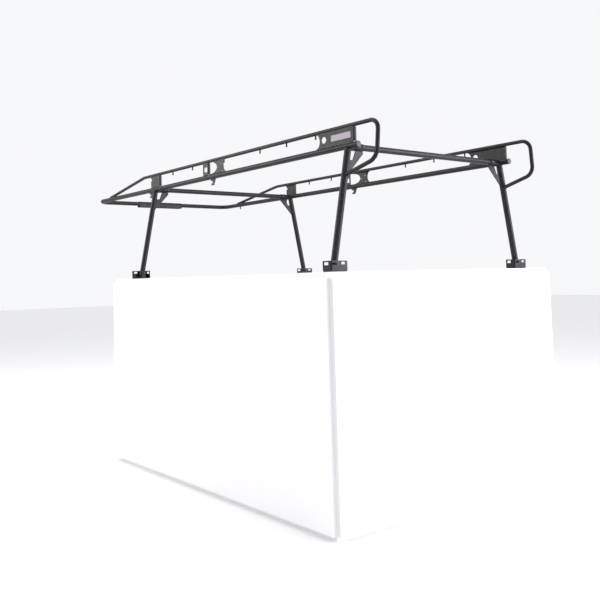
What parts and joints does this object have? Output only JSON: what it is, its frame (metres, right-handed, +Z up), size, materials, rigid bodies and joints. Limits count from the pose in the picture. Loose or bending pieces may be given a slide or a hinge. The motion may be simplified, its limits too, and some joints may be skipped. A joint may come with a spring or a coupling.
{
  "type": "ladder rack",
  "caption": "Steel pickup-bed ladder rack with splayed legs, twin side rails, a front bow, rear hoops, telescoping cross members and bolted rail feet.",
  "frame": {"origin": "middle of the footprint, at the height of the bed rails that the feet stand on", "axes": "+Z up, +Y towards the front bow, +X towards the truck's right side"},
  "size_m": [1.8798, 3.6482, 0.8697],
  "materials": {
    "powder_coat": "semi-gloss black powder coat",
    "inner_steel": "black painted steel",
    "fastener": "black zinc",
    "end_cap": "satin plastic",
    "pad_rubber": "matte rubber",
    "badge": "satin grey plate"
  },
  "bodies": {
    "left_side": {"left_front_rail": "powder_coat", "left_rear_rail": "powder_coat", "left_upper_front_rail": "powder_coat", "left_upper_rear_rail": "powder_coat", "left_lower_spigot": "inner_steel", "left_upper_spigot": "inner_steel", "left_rail_cap": "end_cap", "left_front_plate": "powder_coat", "left_splice_front_plate": "powder_coat", "left_splice_rear_plate": "powder_coat", "left_rear_plate": "powder_coat", "left_badge": "badge", "left_front_tie_hook": "powder_coat", "left_mid_tie_hook": "powder_coat", "left_front_leg": "powder_coat", "left_front_cross_bracket": "powder_coat", "left_front_set_bolt": "fastener", "left_front_pivot_bolt": "fastener", "left_rear_leg": "powder_coat", "left_rear_cross_bracket": "powder_coat", "left_rear_set_bolt": "fastener", "left_rear_pivot_bolt": "fastener"},
    "right_side": {"right_front_rail": "powder_coat", "right_rear_rail": "powder_coat", "right_upper_front_rail": "powder_coat", "right_upper_rear_rail": "powder_coat", "right_lower_spigot": "inner_steel", "right_upper_spigot": "inner_steel", "right_rail_cap": "end_cap", "right_front_plate": "powder_coat", "right_splice_front_plate": "powder_coat", "right_splice_rear_plate": "powder_coat", "right_rear_plate": "powder_coat", "right_badge": "badge", "right_front_tie_hook": "powder_coat", "right_mid_tie_hook": "powder_coat", "right_front_leg": "powder_coat", "right_front_cross_bracket": "powder_coat", "right_front_set_bolt": "fastener", "right_front_pivot_bolt": "fastener", "right_rear_leg": "powder_coat", "right_rear_cross_bracket": "powder_coat", "right_rear_set_bolt": "fastener", "right_rear_pivot_bolt": "fastener"},
    "front_cross": {"front_cross_member": "powder_coat"},
    "rear_cross": {"rear_cross_member": "powder_coat"},
    "bow_joint": {"bow_sleeve": "powder_coat", "bow_sleeve_bolt_left": "fastener", "bow_sleeve_bolt_right": "fastener"},
    "left_front_foot_set": {"left_front_foot": "powder_coat", "left_front_foot_pad": "pad_rubber"},
    "left_rear_foot_set": {"left_rear_foot": "powder_coat", "left_rear_foot_pad": "pad_rubber"},
    "right_front_foot_set": {"right_front_foot": "powder_coat", "right_front_foot_pad": "pad_rubber"},
    "right_rear_foot_set": {"right_rear_foot": "powder_coat", "right_rear_foot_pad": "pad_rubber"}
  },
  "joints": [
    {"name": "width_slide", "type": "slide", "parent": "left_side", "child": "right_side", "axis": [1, 0, 0], "range_m": [-0.02, 0.06]},
    {"name": "front_cross_slide", "type": "slide", "parent": "left_side", "child": "front_cross", "axis": [1, 0, 0], "range_m": [-0.01, 0.03]},
    {"name": "rear_cross_slide", "type": "slide", "parent": "left_side", "child": "rear_cross", "axis": [1, 0, 0], "range_m": [-0.01, 0.03]},
    {"name": "bow_joint_slide", "type": "slide", "parent": "left_side", "child": "bow_joint", "axis": [1, 0, 0], "range_m": [-0.01, 0.03]},
    {"name": "left_front_foot_tilt", "type": "hinge", "parent": "left_side", "child": "left_front_foot_set", "pos_m": [-0.8629, 0.71951, 0.046], "axis": [0, 1, 0], "range_deg": [-4, 4]},
    {"name": "left_rear_foot_tilt", "type": "hinge", "parent": "left_side", "child": "left_rear_foot_set", "pos_m": [-0.8629, -1.56349, 0.046], "axis": [0, 1, 0], "range_deg": [-4, 4]},
    {"name": "right_front_foot_tilt", "type": "hinge", "parent": "right_side", "child": "right_front_foot_set", "pos_m": [0.8629, 0.71951, 0.046], "axis": [0, 1, 0], "range_deg": [-4, 4]},
    {"name": "right_rear_foot_tilt", "type": "hinge", "parent": "right_side", "child": "right_rear_foot_set", "pos_m": [0.8629, -1.56349, 0.046], "axis": [0, 1, 0], "range_deg": [-4, 4]}
  ],
  "couplings": [
    {"joint": "front_cross_slide", "follows": "width_slide", "ratio": 0.5},
    {"joint": "rear_cross_slide", "follows": "width_slide", "ratio": 0.5},
    {"joint": "bow_joint_slide", "follows": "width_slide", "ratio": 0.5}
  ]
}
